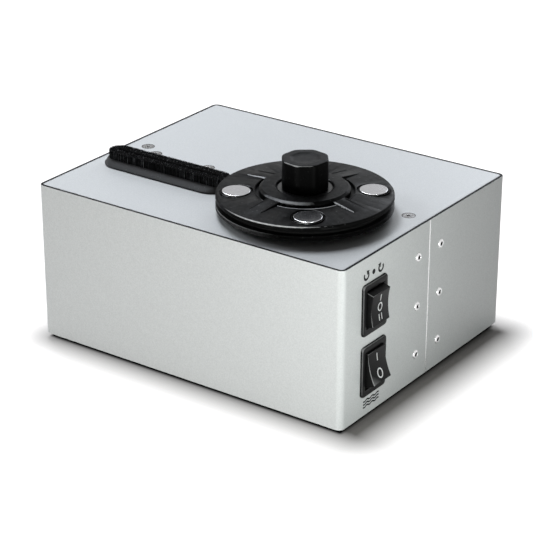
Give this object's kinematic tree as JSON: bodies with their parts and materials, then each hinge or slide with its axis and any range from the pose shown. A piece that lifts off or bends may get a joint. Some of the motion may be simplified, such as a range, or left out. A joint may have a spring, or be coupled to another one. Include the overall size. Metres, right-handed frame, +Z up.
{
  "type": "record cleaning machine",
  "caption": "Box-shaped vinyl record cleaning machine with a clamped turning platter, a bristled suction nozzle, a knob and rocker switches on its right side.",
  "frame": {"origin": "centre of the case's footprint, on the plane that the feet stand on", "axes": "+X to the right along the front, towards the switches; +Y to the back; +Z up, along the spindle"},
  "size_m": [0.2442, 0.1868, 0.1388],
  "materials": {
    "panel_paint": "satin pale blue-grey lacquer on thin sheet",
    "panel_core": "black, bare at the panel's edges",
    "zinc_sheet": "zinc plated",
    "rivet_alloy": "satin",
    "screw_steel": "zinc plated",
    "foot_rubber": "matt black",
    "turned_alloy": "turned",
    "bronze": "oiled bronze",
    "spindle_steel": "ground",
    "platter_black": "black anodised, fine turned grooves",
    "mat_rubber": "matt",
    "clamp_black": "satin black",
    "polished_steel": "polished",
    "washer_steel": "satin",
    "knob_black": "satin black",
    "insert_brass": "machined",
    "nozzle_grey": "dark grey, slightly rough",
    "bristle": "dense dark grey bristles",
    "duct_plastic": "moulded black",
    "tank_plastic": "natural polythene",
    "lid_plastic": "moulded grey",
    "seal_rubber": "matt",
    "drain_plastic": "moulded",
    "hose_rubber": "matt",
    "motor_paint": "dark grey",
    "gearbox_alloy": "die cast",
    "fan_plastic": "moulded black",
    "impeller_plastic": "moulded grey",
    "switch_black": "satin black",
    "rocker_black": "satin black",
    "contact_brass": "tinned",
    "inlet_black": "moulded black",
    "board_green": "lacquered laminate",
    "relay_plastic": "moulded",
    "capacitor_alloy": "drawn can",
    "lead_rubber": "sleeved"
  },
  "bodies": {
    "case": {"wall_skins": "panel_paint", "top_skins": "panel_paint", "wall_core": "panel_core", "top_core": "panel_core", "base_tray": "zinc_sheet", "seam_strip": "zinc_sheet", "seam_rivets": "rivet_alloy", "left_upright": "zinc_sheet", "right_upright": "zinc_sheet", "top_screws": "screw_steel", "tray_screws": "screw_steel", "feet": "foot_rubber", "bearing_housing": "turned_alloy", "bearing_bushes": "bronze", "thrust_washer": "bronze", "nozzle_base": "nozzle_grey", "bristle_strip": "bristle", "nozzle_screws": "screw_steel", "suction_duct": "duct_plastic", "waste_tank": "tank_plastic", "tank_lid": "lid_plastic", "tank_gasket": "seal_rubber", "drain_fitting": "drain_plastic", "suction_hose": "hose_rubber", "fan_mounts": "foot_rubber", "fan_motor": "motor_paint", "fan_housing": "fan_plastic", "motor_standoffs": "turned_alloy", "motor_plate": "zinc_sheet", "drive_screws": "screw_steel", "gearbox_housing": "gearbox_alloy", "gear_motor": "motor_paint", "motor_switch_housing": "switch_black", "vacuum_switch_housing": "switch_black", "switch_terminals": "contact_brass", "mains_inlet": "inlet_black", "inlet_pins": "contact_brass", "inlet_screws": "screw_steel", "board_posts": "drain_plastic", "control_board": "board_green", "board_relays": "relay_plastic", "motor_capacitor": "capacitor_alloy", "wiring": "lead_rubber"},
    "platter": {"spindle_shaft": "spindle_steel", "platter": "platter_black", "platter_screws": "screw_steel", "platter_mat": "mat_rubber", "shaft_coupling": "turned_alloy", "gearbox_shaft": "spindle_steel"},
    "clamp": {"clamp_disc": "clamp_black", "clamp_seal": "seal_rubber", "clamp_weights": "polished_steel", "clamp_washer": "washer_steel"},
    "knob": {"clamp_knob": "knob_black", "knob_insert": "insert_brass"},
    "motor_rocker": {"motor_rocker": "rocker_black"},
    "vacuum_rocker": {"vacuum_rocker": "rocker_black"},
    "impeller": {"fan_impeller": "impeller_plastic", "fan_shaft": "spindle_steel"},
    "drain_cap": {"drain_cap": "seal_rubber"}
  },
  "joints": [
    {"name": "platter_spin", "type": "hinge", "parent": "case", "child": "platter", "pos_m": [0.0452, -0.0307, 0.11], "axis": [0, 0, 1], "continuous": true},
    {"name": "clamp_lift", "type": "slide", "parent": "platter", "child": "clamp", "axis": [0, 0, 1], "range_m": [0, 0.024]},
    {"name": "knob_turn", "type": "hinge", "parent": "clamp", "child": "knob", "pos_m": [0.0452, -0.0307, 0.13], "axis": [0, 0, 1], "range_deg": [0, 8640]},
    {"name": "motor_rocker_tilt", "type": "hinge", "parent": "case", "child": "motor_rocker", "pos_m": [0.1095, -0.0587, 0.0721], "axis": [0, 1, 0], "range_deg": [-14, 14]},
    {"name": "vacuum_rocker_tilt", "type": "hinge", "parent": "case", "child": "vacuum_rocker", "pos_m": [0.1095, -0.0587, 0.0327], "axis": [0, 1, 0], "range_deg": [0, 28]},
    {"name": "fan_spin", "type": "hinge", "parent": "case", "child": "impeller", "pos_m": [-0.045, 0.042, 0.065], "axis": [0, 0, 1], "continuous": true},
    {"name": "drain_cap_pull", "type": "slide", "parent": "case", "child": "drain_cap", "axis": [-1, 0, 0], "range_m": [0, 0.014]}
  ],
  "couplings": [
    {"joint": "knob_turn", "follows": "clamp_lift", "rad_per_m": 6283.2}
  ]
}
